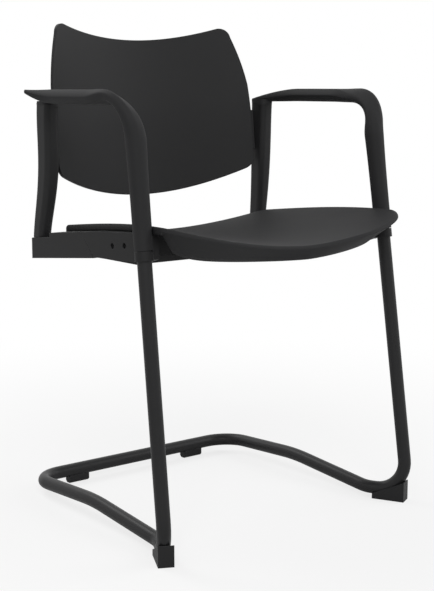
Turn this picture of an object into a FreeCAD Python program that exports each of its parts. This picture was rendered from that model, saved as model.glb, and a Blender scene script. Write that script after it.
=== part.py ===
import FreeCAD, Part
import math
import os

# A conference chair with fixed arms on a cantilever sled frame of one bent tube.
# Millimetres. +Z is up, the sitter faces -Y, and X = 0 is the plane of symmetry.
# "right" and "left" are the sitter's: the right side has negative X.

doc = FreeCAD.newDocument("conference_chair")

# Driving dimensions
# Every size and place that can be set by itself is one cell of this sheet. Places are measured
# from what carries the piece: outwards from the seat's side, up from the seat, back from the leg.
sheet = doc.addObject("Spreadsheet::Sheet", "dimensions")
DIMENSIONS = [
    ("seat_height", 454.5),
    ("seat_rear_half_width", 213.0),
    ("seat_length", 370.5),
    ("seat_rear_y", 127.0),
    ("seat_flare", 0.07),
    ("seat_rear_corner", 10.0),
    ("seat_rear_corner_start", 0.92),
    ("seat_corner_start", 0.45),
    ("seat_corner_depth", 62.0),
    ("seat_dish", 20.0),
    ("seat_dish_power", 1.7),
    ("seat_rim_rise", 21.0),
    ("seat_middle_rise", 6.5),
    ("seat_middle_bend", 0.77),
    ("seat_thickness", 4.5),
    ("seat_lip_height", 10.5),
    ("seat_lip_start", 0.95),
    ("seat_roll", 5.0),
    ("skirt_height", 22.5),
    ("skirt_lean", 10.5),
    ("skirt_sweep", 1.35),
    ("skirt_early_lift", 0.42),
    ("skirt_end_drop", 39.0),
    ("skirt_end_inset", 27.0),
    ("skirt_end_setback", 11.5),
    ("skirt_overlap", 3.0),
    ("seat_boss_x", 110.0),
    ("seat_boss_diameter", 16.0),
    ("seat_pad_height", 2.0),
    ("seat_pad_rim", 1.0),
    ("sleeve_gap", 1.2),
    ("seat_screw_diameter", 5.0),
    ("seat_screw_grip", 9.0),
    ("tube_diameter", 22.0),
    ("tube_wall", 2.0),
    ("leg_offset", 26.4),
    ("leg_splay", 7.6),
    ("leg_setback", 90.1),
    ("leg_rake", 53.0),
    ("leg_low_z", 60.0),
    ("leg_high_drop", 14.5),
    ("leg_top_drop", 95.5),
    ("foot_clearance", 6.0),
    ("foot_bend_radius", 48.0),
    ("joggle_inset", 33.6),
    ("joggle_setback", 58.9),
    ("joggle_drop", 0.5),
    ("joggle_bend_radius", 48.0),
    ("arch_inset", 35.3),
    ("arch_setback", 242.9),
    ("arch_rise", 15.9),
    ("arch_bend_radius", 420.0),
    ("crossbar_inset", 36.3),
    ("crossbar_setback", 438.7),
    ("crossbar_rise", 5.2),
    ("crossbar_bend_radius", 52.0),
    ("plug_length", 12.0),
    ("plug_head_height", 2.5),
    ("front_glide_length", 56.0),
    ("front_glide_side", 1.3),
    ("front_glide_grip", 3.0),
    ("front_glide_rise", 17.0),
    ("front_glide_toe", 27.0),
    ("front_glide_tip_inset", 1.2),
    ("front_glide_tip_reach", 4.0),
    ("rear_glide_inset", 89.7),
    ("rear_glide_length", 39.0),
    ("rear_glide_width", 16.0),
    ("rear_glide_wrap", 5.8),
    ("rear_glide_chamfer", 3.5),
    ("glide_clearance", 0.2),
    ("joint_clearance", 0.3),
    ("tool_overlap", 1.0),
    ("tool_length", 60.0),
    ("rail_gap", 6.0),
    ("rail_width", 24.5),
    ("rail_overhang", 12.0),
    ("rail_drop", 36.5),
    ("rail_height", 34.0),
    ("rail_slope", 0.104),
    ("rail_front_drop", 16.5),
    ("rail_nose_lift", 10.5),
    ("collar_wall", 3.2),
    ("collar_rise", 7.0),
    ("collar_height", 14.0),
    ("web_reach", 47.0),
    ("web_thickness", 4.0),
    ("cover_thickness", 7.0),
    ("cover_setback", 157.4),
    ("cover_boundary_lean", 34.0),
    ("cover_clearance", 0.3),
    ("cover_edge_rise", 1.0),
    ("cover_front_drop", 9.5),
    ("cover_bow", 5.0),
    ("cover_floor", 2.0),
    ("cover_recess_diameter", 9.0),
    ("cover_screw_setback", 87.4),
    ("cover_screw_height", 7.0),
    ("cover_screw_pitch", 32.0),
    ("cover_screw_climb", 3.1),
    ("cover_screw_length", 12.0),
    ("cover_screw_head", 8.0),
    ("cover_screw_head_height", 2.5),
    ("cross_width", 30.0),
    ("cross_height", 10.0),
    ("cross_wall", 2.0),
    ("cross_drop", 16.0),
    ("cross_front_setback", 48.4),
    ("cross_rear_inset", 39.0),
    ("spigot_length", 25.0),
    ("bolt_diameter", 6.0),
    ("bolt_head_diameter", 10.0),
    ("bolt_head_height", 3.5),
    ("screw_head_diameter", 9.0),
    ("screw_head_height", 2.5),
    ("screw_tip_room", 1.0),
    ("post_width", 26.0),
    ("post_depth", 34.0),
    ("post_corner", 9.0),
    ("post_in_rail", 11.6),
    ("post_setback", 34.0),
    ("post_mid_inset", 5.2),
    ("post_mid_advance", 14.5),
    ("post_mid_rise", 107.5),
    ("post_top_inset", 4.9),
    ("post_top_advance", 17.0),
    ("post_top_drop", 24.5),
    ("post_foot_share", 0.88),
    ("post_top_share", 1.1),
    ("tenon_width", 14.0),
    ("tenon_depth", 20.0),
    ("tenon_length", 24.0),
    ("back_radius", 385.0),
    ("back_thickness", 5.5),
    ("back_lean", 7.1),
    ("back_setback", 67.5),
    ("back_rise", 55.0),
    ("back_post_gap", 6.4),
    ("back_top_height", 268.0),
    ("back_horn_inset", 46.0),
    ("back_horn_height", 290.5),
    ("back_shoulder_inset", 23.5),
    ("back_shoulder_height", 275.5),
    ("back_side_inset", 1.5),
    ("back_side_height", 190.5),
    ("back_low_side_height", 70.5),
    ("back_corner_inset", 14.0),
    ("back_corner_height", 40.5),
    ("back_corner_bulge", 4.5),
    ("back_side_bulge", 2.5),
    ("back_flank_bulge", 1.8),
    ("back_skin", 2.0),
    ("back_screw_inset", 18.0),
    ("back_screw_low_height", 90.5),
    ("back_screw_high_height", 130.5),
    ("back_screw_diameter", 5.0),
    ("fin_inset", 30.0),
    ("fin_margin", 15.0),
    ("fin_thickness", 4.0),
    ("arm_height", 239.0),
    ("arm_pad_offset", 4.6),
    ("arm_pad_width", 44.0),
    ("arm_pad_height", 22.0),
    ("arm_inner_inset", 2.0),
    ("arm_outer_inset", 42.0),
    ("arm_outer_flare", 11.0),
    ("arm_taper_length", 100.0),
    ("arm_end_height", 6.0),
    ("arm_bend_radius", 54.0),
    ("arm_waist_width", 33.0),
    ("arm_waist_height", 15.5),
    ("arm_waist_outset", 6.7),
    ("arm_waist_tilt", 28.0),
    ("arm_waist_lead", 39.0),
    ("arm_waist_tail", 18.0),
    ("sleeve_wall", 2.8),
    ("sleeve_flare", 1.7),
    ("sleeve_roundness", 0.46),
    ("pad_roundness", 0.42),
    ("sleeve_clearance", 0.2),
    ("neck_spread", -4.0),
    ("neck_height", 5.0),
    ("arm_pin_diameter", 6.0),
    ("arm_pin_bite", 8.0),
    ("arm_pin_outset", 7.0),
]
for row, (alias, value) in enumerate(DIMENSIONS, start=1):
    sheet.set("A%d" % row, alias)
    sheet.set("B%d" % row, str(value))
    sheet.setAlias("B%d" % row, alias)
doc.recompute()


def size(alias):
    """The value of one cell of the sheet."""
    return float(sheet.get(alias))


def vec(x, y, z):
    return FreeCAD.Vector(x, y, z)


X_AXIS = vec(1, 0, 0)
Y_AXIS = vec(0, 1, 0)
Z_AXIS = vec(0, 0, 1)
SIDES = (("right", -1), ("left", 1))
pieces = []


def keep(thing, label, solids=1):
    """Gives a finished sub-part its label and lists it with the number of solids that it must have."""
    thing.Label = label
    pieces.append((thing, solids))
    return thing


def coded(label, shape, solids=1):
    """A sub-part whose shape is worked out here from the sheet."""
    feature = doc.addObject("Part::Feature", label)
    feature.Shape = shape
    return keep(feature, label, solids)


def mirrored(shape, side):
    """The shape built for the left side, put on the side asked for."""
    if side > 0:
        return shape
    return shape.mirror(vec(0, 0, 0), X_AXIS)


def between(first, last, steps):
    """Evenly spaced values from the first to the last."""
    return [first + (last - first) * index / steps for index in range(steps + 1)]


def bent_path(points, radii):
    """Straight runs joined by tangent arcs: a point list and the bend radius at each inner point."""
    edges = []
    start = points[0]
    for before, corner, after, radius in zip(points, points[1:], points[2:], radii):
        back = (before - corner).normalize()
        ahead = (after - corner).normalize()
        half_turn = (math.pi - back.getAngle(ahead)) / 2
        reach = radius * math.tan(half_turn)
        bisector = (back + ahead).normalize()
        centre = corner + bisector * (radius / math.cos(half_turn))
        first = corner + back * reach
        last = corner + ahead * reach
        middle = centre - bisector * radius
        edges.append(Part.LineSegment(start, first).toShape())
        edges.append(Part.Arc(first, middle, last).toShape())
        start = last
    edges.append(Part.LineSegment(start, points[-1]).toShape())
    return Part.Wire(edges)


def pipe(path, radius):
    """A round bar along a path."""
    first = path.Edges[0]
    begin = first.valueAt(first.FirstParameter)
    heading = first.tangentAt(first.FirstParameter)
    ring = Part.Wire(Part.Circle(begin, heading, radius).toShape())
    return path.makePipeShell([ring], True, False)


def rounded_wire(centre, along, across, width, height, corner):
    """A rounded rectangle about a centre: width along one direction, height along the other."""
    corner = min(corner, 0.499 * width, 0.499 * height)
    half_w = width / 2
    half_h = height / 2
    inner_w = half_w - corner
    inner_h = half_h - corner
    bulge = corner * math.sqrt(0.5)

    def at(a, b):
        return centre + along * a + across * b

    arcs = []
    for sign_a, sign_b in ((1, 1), (-1, 1), (-1, -1), (1, -1)):
        side_point = at(sign_a * half_w, sign_b * inner_h)
        cap_point = at(sign_a * inner_w, sign_b * half_h)
        middle = at(sign_a * (inner_w + bulge), sign_b * (inner_h + bulge))
        ends = (side_point, cap_point) if sign_a == sign_b else (cap_point, side_point)
        arcs.append(Part.Arc(ends[0], middle, ends[1]).toShape())
    ordered = []
    for arc, following in zip(arcs, arcs[1:] + arcs[:1]):
        ordered.append(arc)
        ordered.append(Part.LineSegment(arc.Vertexes[-1].Point, following.Vertexes[0].Point).toShape())
    return Part.Wire(ordered)


def largest(shape):
    """The biggest solid of a shape that a cut has left in pieces."""
    return max(shape.Solids, key=lambda solid: solid.Volume)


def joined(first, second):
    """Two overlapping solids made one, with a looser fit when the exact one loses either of them."""
    for tolerance in (0.01, 0.02, 0.05, 0.0):
        shape = first.fuse([second], tolerance)
        if len(shape.Solids) == 1 and shape.Volume > first.Volume + 0.5 * second.Volume:
            return shape
    raise RuntimeError("two solids would not join")


# Places that several pieces share

seat_front_y = size("seat_rear_y") - size("seat_length")
rail_inner_x = size("seat_rear_half_width") + size("rail_gap")
rail_outer_x = rail_inner_x + size("rail_width")
tube_radius = size("tube_diameter") / 2
foot_axis_z = size("foot_clearance") + tube_radius
crossbar_z = foot_axis_z + size("crossbar_rise")
arm_top_z = size("seat_height") + size("arm_height")
leg_high = vec(rail_inner_x + size("leg_offset"), seat_front_y + size("leg_setback"),
               size("seat_height") - size("leg_high_drop"))
leg_low = vec(leg_high.x + size("leg_splay"), leg_high.y - size("leg_rake"), size("leg_low_z"))
leg_direction = (leg_high - leg_low).normalize()
leg_top_z = arm_top_z - size("leg_top_drop")
crossbar_corner_x = leg_low.x - size("crossbar_inset")
crossbar_y = leg_low.y + size("crossbar_setback")
cross_bottom_z = size("seat_height") - size("cross_drop")
cross_top_z = cross_bottom_z + size("cross_height")
cross_front_y = leg_high.y + size("cross_front_setback")
cross_rear_y = size("seat_rear_y") - size("cross_rear_inset")
screw_hole = (size("seat_screw_diameter") + size("joint_clearance")) / 2
bolt_hole = (size("bolt_diameter") + size("joint_clearance")) / 2
sleeve_room = tube_radius + size("sleeve_wall") + size("sleeve_gap")


def on_leg(z):
    """The point of the leg's axis at a height."""
    return leg_low + leg_direction * ((z - leg_low.z) / leg_direction.z)


def leg_bar(radius, low_z, high_z):
    """A round bar along the leg's axis, its ends square to the axis."""
    base = on_leg(low_z)
    return Part.makeCylinder(radius, (on_leg(high_z) - base).Length, base, leg_direction)


# The frame: one bent round tube, from one arm down the leg, round the foot, along the floor,
# across the back and up the other side

def frame_points():
    half = [
        on_leg(leg_top_z),
        on_leg(foot_axis_z),
        vec(leg_low.x - size("joggle_inset"), leg_low.y + size("joggle_setback"),
            foot_axis_z - size("joggle_drop")),
        vec(leg_low.x - size("arch_inset"), leg_low.y + size("arch_setback"),
            foot_axis_z + size("arch_rise")),
        vec(crossbar_corner_x, crossbar_y, crossbar_z),
    ]
    other = [vec(-point.x, point.y, point.z) for point in reversed(half)]
    return half + other


frame_radii = [size(name) for name in
               ("foot_bend_radius", "joggle_bend_radius", "arch_bend_radius", "crossbar_bend_radius")]
frame_path = bent_path(frame_points(), frame_radii + frame_radii[::-1])
frame_bar = pipe(frame_path, tube_radius)
frame_bore = pipe(frame_path, tube_radius - size("tube_wall"))
coded("sled_frame", frame_bar.cut(frame_bore))
glide_envelope = pipe(frame_path, tube_radius + size("glide_clearance"))


# Plugs that close the tube's two open ends, inside the arms

def tube_plug(side_name, side):
    """A plastic stopper: a shank in the tube's bore under a flat head as wide as the tube."""
    top = on_leg(leg_top_z)
    bore = tube_radius - size("tube_wall") - size("glide_clearance")
    shank = Part.makeCylinder(bore, size("plug_length"), top - leg_direction * size("plug_length"),
                              leg_direction)
    head = Part.makeCylinder(tube_radius, size("plug_head_height"), top, leg_direction)
    coded("tube_plug_" + side_name, mirrored(shank.fuse(head).removeSplitter(), side))


for side_name, side in SIDES:
    tube_plug(side_name, side)


# Front foot glides: wedges that fill the corner between the floor and the foot's bend

def sketch_on(body, role, name):
    """A sketch on one of the body's own origin planes."""
    sketch = body.newObject("Sketcher::SketchObject", name)
    plane = [item for item in body.Origin.OriginFeatures if item.Role == role][0]
    sketch.AttachmentSupport = [(plane, "")]
    sketch.MapMode = "FlatFace"
    return sketch


def front_glide(side_name, side):
    """The wedge's side profile padded across its width, then hollowed to cradle the tube."""
    body = doc.addObject("PartDesign::Body", "front_glide_block_" + side_name)
    profile = sketch_on(body, "XZ_Plane", "wedge_profile_" + side_name)
    length = size("front_glide_length")
    corners = [
        vec(0, 0, 0),
        vec(length, 0, 0),
        vec(length, size("foot_clearance") + size("front_glide_grip"), 0),
        vec(0, foot_axis_z + size("front_glide_rise"), 0),
    ]
    for first, second in zip(corners, corners[1:] + corners[:1]):
        profile.addGeometry(Part.LineSegment(first, second), False)
    block = body.newObject("PartDesign::Pad", "wedge_" + side_name)
    block.Profile = profile
    block.setExpression("Length", "dimensions.tube_diameter + 2 * dimensions.front_glide_side")
    block.Midplane = True
    turn = 90 + side * size("front_glide_toe")
    body.Placement = FreeCAD.Placement(
        vec(side * (leg_low.x - size("front_glide_tip_inset")), leg_low.y - size("front_glide_tip_reach"), 0),
        FreeCAD.Rotation(Z_AXIS, turn))
    envelope = doc.addObject("Part::Feature", "tube_room_front_" + side_name)
    envelope.Shape = glide_envelope
    cut = doc.addObject("Part::Cut", "front_glide_cut_" + side_name)
    cut.Base = body
    cut.Tool = envelope
    keep(cut, "front_foot_glide_" + side_name)


for side_name, side in SIDES:
    front_glide(side_name, side)


# Rear foot glides: saddles under the crossbar

def rear_glide(side_name, side):
    """A block under the crossbar with the tube's hollow in its top."""
    middle_x = side * (crossbar_corner_x - size("rear_glide_inset"))
    low_x = middle_x - size("rear_glide_length") / 2
    block = doc.addObject("Part::Box", "rear_glide_block_" + side_name)
    block.setExpression("Length", "dimensions.rear_glide_length")
    block.setExpression("Width", "dimensions.rear_glide_width")
    block.setExpression("Height", "dimensions.foot_clearance + dimensions.crossbar_rise"
                                  " + dimensions.rear_glide_wrap")
    block.Placement.Base = vec(low_x, crossbar_y - size("rear_glide_width") / 2, 0)
    chamfered = doc.addObject("Part::Chamfer", "rear_glide_chamfer_" + side_name)
    chamfered.Base = block
    doc.recompute()
    long_edges = []
    for number, edge in enumerate(block.Shape.Edges, start=1):
        on_floor = edge.BoundBox.ZMax < 0.001
        if on_floor and edge.BoundBox.XLength > edge.BoundBox.YLength:
            long_edges.append((number, size("rear_glide_chamfer"), size("rear_glide_chamfer")))
    chamfered.Edges = long_edges
    envelope = doc.addObject("Part::Cylinder", "tube_room_rear_" + side_name)
    envelope.setExpression("Radius", "dimensions.tube_diameter / 2 + dimensions.glide_clearance")
    envelope.setExpression("Height", "dimensions.rear_glide_length + 2 * dimensions.tool_overlap")
    envelope.Placement = FreeCAD.Placement(
        vec(low_x - size("tool_overlap"), crossbar_y, crossbar_z), FreeCAD.Rotation(Y_AXIS, 90))
    cut = doc.addObject("Part::Cut", "rear_glide_cut_" + side_name)
    cut.Base = chamfered
    cut.Tool = envelope
    keep(cut, "rear_foot_glide_" + side_name)


for side_name, side in SIDES:
    rear_glide(side_name, side)


# Seat: one moulded shell, a dished pan with a lip down each side, a skirt that leans in under its
# front edge, and four bosses for its screws

def seat_width_at(y):
    """Half the seat's width at a distance along it: it widens towards the front."""
    return size("seat_rear_half_width") + size("seat_flare") * (size("seat_rear_y") - y)


def seat_top(share_across, y):
    """Height of the upper face: a trough whose rim climbs, then levels out towards the front."""
    along = (size("seat_rear_y") - y) / size("seat_length")
    bend = size("seat_middle_bend")
    middle = size("seat_height") + size("seat_middle_rise") * ((1 - bend) * along + bend * along ** 3)
    rim = size("seat_height") + size("seat_dish") + size("seat_rim_rise") * (2 * along - along ** 3)
    return middle + (rim - middle) * abs(share_across) ** size("seat_dish_power")


def corner_share(share_across):
    """How far round the front corner a share across lies: 0 where the curve starts, 1 at the side."""
    return max(0.0, abs(share_across) - size("seat_corner_start")) / (1 - size("seat_corner_start"))


def seat_front(share_across):
    """Where the front edge lies: straight in the middle, then a quarter ellipse to each side."""
    round_off = math.sqrt(max(0.0, 1 - corner_share(share_across) ** 2))
    return seat_front_y + size("seat_corner_depth") * (1 - round_off)


def seat_rear(share_across):
    """Where the rear edge lies: straight, with small round corners."""
    start = size("seat_rear_corner_start")
    corner = max(0.0, abs(share_across) - start) / (1 - start)
    return size("seat_rear_y") - size("seat_rear_corner") * corner ** 2


def seat_depth(share_across):
    """Thickness of the pan, which grows into the lip at each side."""
    start = size("seat_lip_start")
    edge = max(0.0, abs(share_across) - start) / (1 - start)
    return size("seat_thickness") + (size("seat_lip_height") - size("seat_thickness")) * edge


def seat_ridge(share_across):
    """Height of the front edge's crest."""
    return seat_top(share_across, seat_front(share_across) + size("seat_roll"))


def through(points):
    """A smooth curve through points."""
    curve = Part.BSplineCurve()
    curve.interpolate(points)
    return curve.toShape()


def seat_station(share_across):
    """The closed outline of the pan in one upright plane that runs from rear to front."""
    depth = seat_depth(share_across)
    roll = size("seat_roll")
    rear = seat_rear(share_across)
    front = seat_front(share_across)

    def at(y, z):
        return vec(share_across * seat_width_at(y), y, z)

    upper = [at(y, seat_top(share_across, y)) for y in between(rear, front + roll, 6)]
    lower = [at(y, seat_top(share_across, y) - depth)
             for y in between(front + roll + size("seat_thickness"), rear, 6)]
    ridge_z = seat_ridge(share_across)
    nose = at(front, ridge_z - roll)
    hip = at(front + roll * (1 - math.sqrt(0.5)), ridge_z - roll * (1 - math.sqrt(0.5)))
    return Part.Wire([
        through(upper),
        through([upper[-1], hip, nose]),
        Part.LineSegment(nose, lower[0]).toShape(),
        through(lower),
        Part.LineSegment(lower[-1], upper[0]).toShape(),
    ])


def skirt_hem(share_across):
    """The skirt's lower edge: it sweeps back from the middle and lifts quickly near its end."""
    share = abs(share_across)
    middle = vec(0, seat_front_y + size("skirt_lean"), seat_ridge(0.0) - size("skirt_height"))
    corner_y = seat_front(1.0)
    end = vec(seat_width_at(corner_y) - size("skirt_end_inset"), corner_y + size("skirt_end_setback"),
              seat_ridge(1.0) - size("skirt_end_drop"))
    early = size("skirt_early_lift")
    lift = early * share ** 2 + (1 - early) * share ** 10
    return vec(end.x * share_across, middle.y + (end.y - middle.y) * share ** size("skirt_sweep"),
               middle.z + (end.z - middle.z) * lift)


def skirt_section(share_across):
    """The skirt's outline between the front edge's crest and the hem, one thickness deep."""
    corner = corner_share(share_across)
    half_width = seat_width_at(seat_front(share_across))
    inward = vec(-math.copysign(size("seat_corner_depth") * corner, share_across),
                 (1 - size("seat_corner_start")) * half_width * math.sqrt(1 - corner ** 2), 0).normalize()
    crest = vec(share_across * half_width, seat_front(share_across), seat_ridge(share_across))
    fall = skirt_hem(share_across) - crest
    thickness = size("seat_thickness")
    overlap = size("skirt_overlap")
    roll = size("seat_roll") / abs(fall.z)
    hidden = overlap / abs(fall.z)
    profile = [
        (0.3 * overlap, roll + 0.3 * hidden),
        (0.0, 1.0),
        (thickness, 1.0),
        (thickness + overlap, roll),
        (overlap, roll - hidden),
    ]
    points = [crest + fall * down + inward * depth for depth, down in profile]
    return Part.makePolygon(points + points[:1])


def seat_screw_places():
    """The four places where the seat is screwed to the cross members."""
    return [(x_side * size("seat_boss_x"), y)
            for y in (cross_front_y, cross_rear_y) for x_side in (-1, 1)]


boss_low_z = cross_top_z + size("seat_pad_height")
PAN_STATIONS = (0.0, 0.25, 0.5, 0.68, 0.8, 0.89, 0.95, 1.0)
SKIRT_STATIONS = (0.0, 0.2, 0.4, 0.5, 0.6, 0.7, 0.8, 0.88, 0.94, 0.98, 1.0)


def side_to_side(section, stations):
    """A smooth loft through the sections at the stations, from one side to the other."""
    shares = [-share for share in reversed(stations[1:])] + list(stations)
    return Part.makeLoft([section(share) for share in shares], True, False)


def seat_shape():
    """Lofts the pan and its skirt from side to side, adds the bosses and makes room for the arms."""
    shell = joined(side_to_side(seat_station, PAN_STATIONS), side_to_side(skirt_section, SKIRT_STATIONS))
    for x, y in seat_screw_places():
        roof_z = seat_top(x / seat_width_at(y), y) - size("seat_thickness") / 2
        boss = Part.makeCylinder(size("seat_boss_diameter") / 2, roof_z - boss_low_z, vec(x, y, boss_low_z))
        shell = shell.fuse(boss)
        shell = shell.cut(Part.makeCylinder(screw_hole, size("seat_screw_grip"), vec(x, y, boss_low_z)))
    room = leg_bar(sleeve_room, size("seat_height") - size("tool_length"),
                   size("seat_height") + size("tool_length"))
    for side_name, side in SIDES:
        shell = shell.cut(mirrored(room, side))
    return largest(shell)


coded("seat_shell", seat_shape())


# Side rails: one casting each side holds the leg in its collar, the post in its socket and the two
# cross members on its spigots, with an upright web over the front one

post_foot_y = size("seat_rear_y") + size("post_setback")
rail_rear_y = post_foot_y + size("rail_overhang")
rail_rear_bottom_z = size("seat_height") - size("rail_drop")
collar_top_z = size("seat_height") + size("collar_rise")
collar_bottom_z = collar_top_z - size("collar_height")
rail_front_y = on_leg(collar_bottom_z).y
rail_waist_x = rail_outer_x - size("cover_thickness") - size("cover_clearance")
step_y = size("seat_rear_y") - size("seat_rear_corner")


def rail_top(y):
    """Height of the rail's upper edge: the slope under the post, then just under the seat's lip."""
    if y > step_y:
        return rail_rear_bottom_z + size("rail_height") + size("rail_slope") * (rail_rear_y - y)
    return seat_top(1.0, y) - size("seat_lip_height") - size("joint_clearance")


def rail_bottom(y):
    """Height of the rail's underside: it climbs from the rear, then runs level to the leg."""
    climb = rail_rear_bottom_z + size("rail_slope") * (rail_rear_y - y)
    return min(climb, size("seat_height") - size("rail_front_drop"))


boundary_y = leg_high.y + size("cover_setback")
boundary_top_y = boundary_y + size("cover_boundary_lean") / 2
boundary_low_y = boundary_y - size("cover_boundary_lean") / 2


def side_plate(outline, low_x, high_x):
    """A plate between two X values with the outline given as (y, z) corners."""
    points = [vec(low_x, y, z) for y, z in outline]
    face = Part.Face(Part.makePolygon(points + points[:1]))
    return face.extrude(vec(high_x - low_x, 0, 0))


def rail_outline():
    """The rail seen from the side: its top from rear to front, then its underside back."""
    corners = [(rail_rear_y, rail_top(rail_rear_y)), (step_y + size("tool_overlap") / 2, rail_top(step_y + 0.01))]
    corners += [(y, rail_top(y)) for y in between(step_y, rail_front_y, 8)]
    nose_y = cross_front_y - size("cross_width") / 2
    corners += [(rail_front_y, rail_bottom(rail_front_y) + size("rail_nose_lift"))]
    corners += [(y, rail_bottom(y)) for y in between(nose_y, rail_rear_y, 14)]
    return corners


def cover_room():
    """The space that the cover takes from the rail: all in front of the slanted boundary."""
    top = vec(0, boundary_top_y, rail_top(boundary_top_y))
    low = vec(0, boundary_low_y, rail_bottom(boundary_low_y))
    rise = top - low
    high_end = top + rise
    low_end = low - rise
    front_y = rail_front_y - size("tool_length")
    return [(low_end.y, low_end.z), (high_end.y, high_end.z), (front_y, high_end.z), (front_y, low_end.z)]


def cross_bar(y, inset, low_x, high_x):
    """The outline of a cross member between two X values, smaller all round by the inset."""
    width = size("cross_width") - 2 * inset
    height = size("cross_height") - 2 * inset
    corner = vec(low_x, y - width / 2, cross_bottom_z + inset)
    return Part.makeBox(high_x - low_x, width, height, corner)


slope_across = vec(0, 1, -size("rail_slope")).normalize()
post_seat_z = rail_top(post_foot_y)
post_foot = vec(rail_inner_x + size("post_in_rail"), post_foot_y, post_seat_z)
cross_bolt_x = rail_inner_x - size("spigot_length") / 2


def tenon(extra):
    """The post's tongue, or with some extra all round the socket that it fits."""
    width = size("tenon_width") + 2 * extra
    depth = size("tenon_depth") + 2 * extra
    length = size("tenon_length") + extra
    corner = post_foot - vec(width / 2, depth / 2, length)
    return Part.makeBox(width, depth, length + 4 * size("tool_overlap"), corner)


def tenon_bolt_bar(radius, low_x, high_x):
    """A bar across the tenon's middle."""
    centre_z = post_seat_z - size("tenon_length") / 2
    return Part.makeCylinder(radius, high_x - low_x, vec(low_x, post_foot_y, centre_z), X_AXIS)


def cross_bolt_bar(y, radius):
    """A bar up through a cross member's lower wall into the rail's spigot."""
    length = size("cross_height") - size("cross_wall")
    return Part.makeCylinder(radius, length - size("tool_overlap") / 2,
                             vec(cross_bolt_x, y, cross_bottom_z - size("tool_overlap") / 2))


def cover_screw_places():
    """Where the cover's screws enter, on the rail's thin front part."""
    first_y = leg_high.y + size("cover_screw_setback")
    first_z = size("seat_height") + size("cover_screw_height")
    return [vec(rail_waist_x, first_y - index * size("cover_screw_pitch"),
                first_z + index * size("cover_screw_climb")) for index in (0, 1)]


def rail_web():
    """An upright web over the front cross member, from the rail inwards, close under the pan."""
    low_y = cross_front_y - size("cross_width") / 2
    low_z = cross_top_z + size("joint_clearance")
    reach = between(rail_inner_x - size("web_reach"), rail_inner_x + size("tool_overlap"), 4)
    corners = [vec(reach[-1], low_y, low_z), vec(reach[0], low_y, low_z)]
    for x in reach:
        share = min(1.0, x / seat_width_at(low_y))
        corners.append(vec(x, low_y, seat_top(share, low_y) - seat_depth(share) - size("tool_overlap")))
    face = Part.Face(Part.makePolygon(corners + corners[:1]))
    return face.extrude(vec(0, size("web_thickness"), 0))


def rail_shape():
    """The left rail: a plate thinned under the cover, the collar, the web and the spigots, drilled."""
    plate = side_plate(rail_outline(), rail_inner_x, rail_outer_x)
    plate = plate.cut(side_plate(cover_room(), rail_waist_x, rail_outer_x + size("tool_overlap")))
    collar = leg_bar(tube_radius + size("collar_wall"), collar_bottom_z, collar_top_z)
    spigot_inset = size("cross_wall") + size("glide_clearance")
    spigots = [cross_bar(y, spigot_inset, rail_inner_x - size("spigot_length"), rail_inner_x + size("tool_overlap"))
               for y in (cross_front_y, cross_rear_y)]
    shape = plate.fuse([collar, rail_web()] + spigots)
    shape = shape.cut(leg_bar(tube_radius + size("glide_clearance"), collar_bottom_z - size("tool_length"),
                              collar_top_z + size("tool_length")))
    shape = shape.cut(leg_bar(sleeve_room, collar_top_z, collar_top_z + size("tool_length")))
    shape = shape.cut(tenon(size("joint_clearance")))
    shape = shape.cut(tenon_bolt_bar(bolt_hole, rail_inner_x - size("tool_overlap"), post_foot.x))
    for y in (cross_front_y, cross_rear_y):
        shape = shape.cut(cross_bolt_bar(y, bolt_hole))
    for place in cover_screw_places():
        shape = shape.cut(Part.makeCylinder(screw_hole, size("tool_length"),
                                            place - X_AXIS * size("tool_length"), X_AXIS))
    return shape.removeSplitter()


for side_name, side in SIDES:
    coded("side_rail_" + side_name, mirrored(rail_shape(), side))


# Side covers: a plastic fairing screwed over the front part of each rail

def cover_shape():
    """The left cover: a plate with a bowed lower edge, notched round the collar."""
    gap = size("cover_clearance")
    front_z = size("seat_height") - size("cover_front_drop")
    outline = [(boundary_low_y - gap, rail_bottom(boundary_low_y) + size("cover_edge_rise"))]
    outline += [(y, rail_top(y)) for y in between(boundary_top_y - gap, rail_front_y, 8)]
    outline += [(rail_front_y, front_z)]
    for part in (0.75, 0.5, 0.25):
        y = boundary_low_y + (rail_front_y - boundary_low_y) * part
        outline.append((y, front_z - size("cover_bow") * 4 * part * (1 - part) * (1.3 - part)))
    shape = side_plate(outline, rail_outer_x - size("cover_thickness"), rail_outer_x)
    shape = shape.cut(leg_bar(sleeve_room, collar_bottom_z - size("tool_length"),
                              collar_top_z + size("tool_length")))
    for place in cover_screw_places():
        shape = shape.cut(Part.makeCylinder(screw_hole, size("tool_length"), place, X_AXIS))
        recess = place + X_AXIS * (gap + size("cover_floor"))
        shape = shape.cut(Part.makeCylinder(size("cover_recess_diameter") / 2, size("tool_length"), recess, X_AXIS))
    return largest(shape)


for side_name, side in SIDES:
    coded("side_cover_" + side_name, mirrored(cover_shape(), side))


# Screws: one plain socket-headed form for every place

def screw(seat, direction, diameter, length, head_diameter, head_height):
    """A screw whose head's underside is at the seat and whose shank runs along the direction."""
    shank = Part.makeCylinder(diameter / 2, length, seat, direction)
    head_end = seat - direction * head_height
    head = Part.makeCylinder(head_diameter / 2, head_height, head_end, direction)
    socket = Part.makeCylinder(0.28 * head_diameter, 0.6 * head_height, head_end, direction)
    return shank.fuse(head).cut(socket).removeSplitter()


def cover_screw_group(side):
    """The two screws of one cover, their heads on the floor of its recesses."""
    screws = []
    for place in cover_screw_places():
        seat = place + X_AXIS * (size("cover_clearance") + size("cover_floor"))
        screws.append(screw(seat, X_AXIS * -1, size("seat_screw_diameter"), size("cover_screw_length"),
                            size("cover_screw_head"), size("cover_screw_head_height")))
    return mirrored(Part.makeCompound(screws), side)


for side_name, side in SIDES:
    coded("cover_screws_" + side_name, cover_screw_group(side), 2)


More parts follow.
